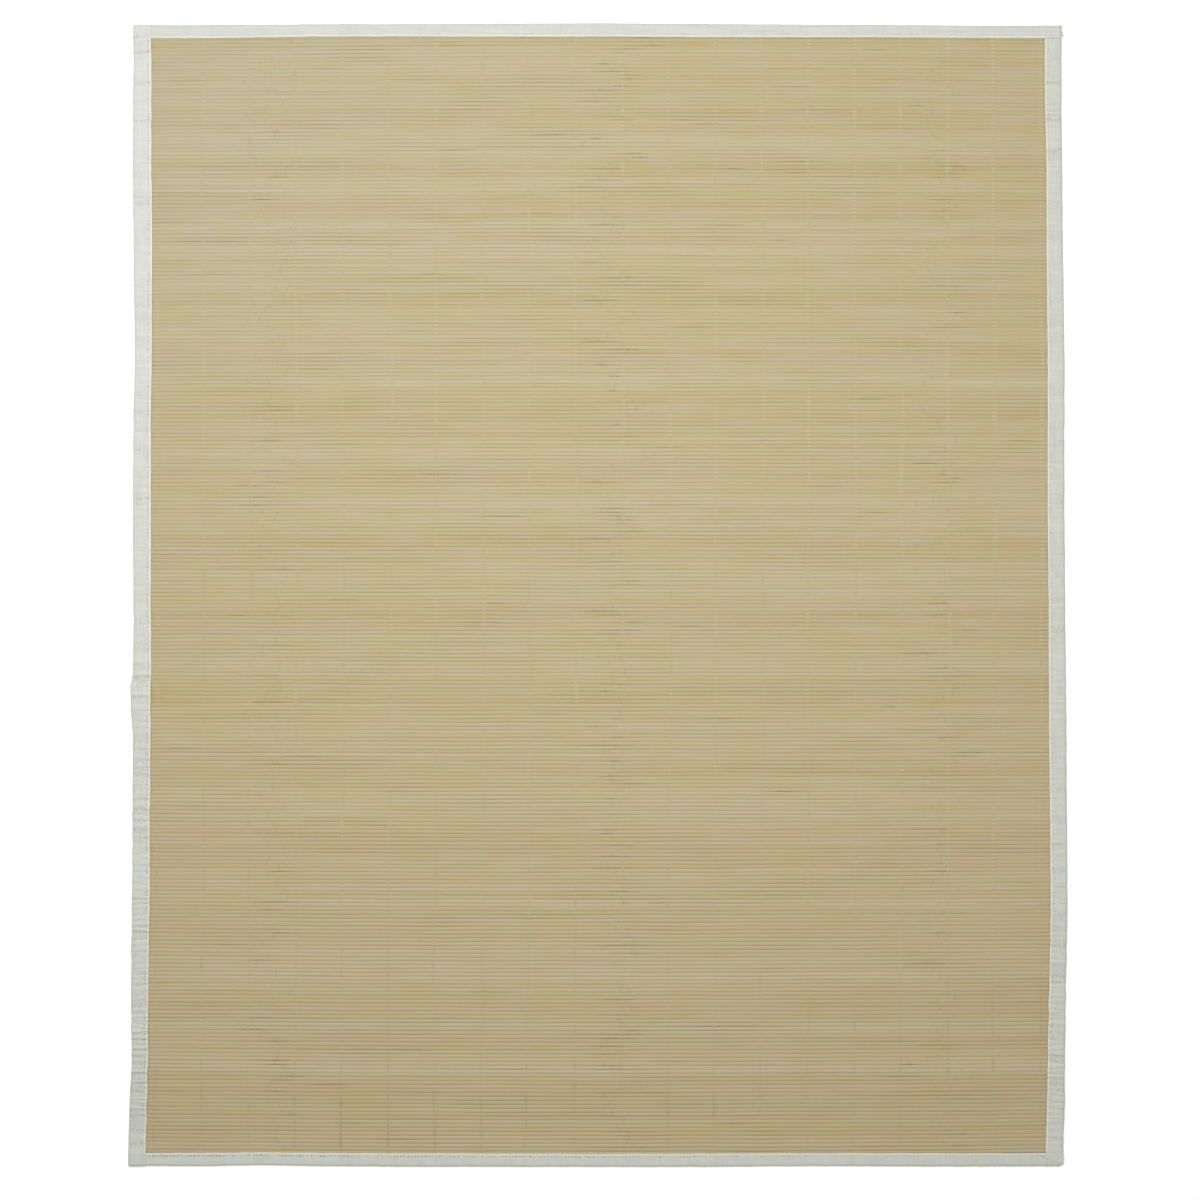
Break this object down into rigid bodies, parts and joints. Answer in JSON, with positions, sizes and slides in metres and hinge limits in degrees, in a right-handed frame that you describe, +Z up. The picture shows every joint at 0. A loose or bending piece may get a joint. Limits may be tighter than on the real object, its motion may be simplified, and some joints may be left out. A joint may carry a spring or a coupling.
{
  "type": "bamboo rug",
  "caption": "Flat rectangular floor rug of thin bamboo slats woven side by side, with cloth tape folded over every edge and sewn down.",
  "frame": {"origin": "on the floor, under the middle of the rug", "axes": "+X along the slats to the rug's right side, +Y across the slats to its far end, +Z up"},
  "size_m": [1.21, 1.473, 0.0063],
  "materials": {
    "bamboo": "bare split bamboo, satin",
    "tape": "pale grey-green cotton canvas tape, matte"
  },
  "bodies": {
    "root": {"slat_mat": "bamboo", "side_tape_left": "tape", "side_tape_right": "tape", "end_tape_far": "tape", "end_tape_near": "tape"}
  },
  "joints": []
}
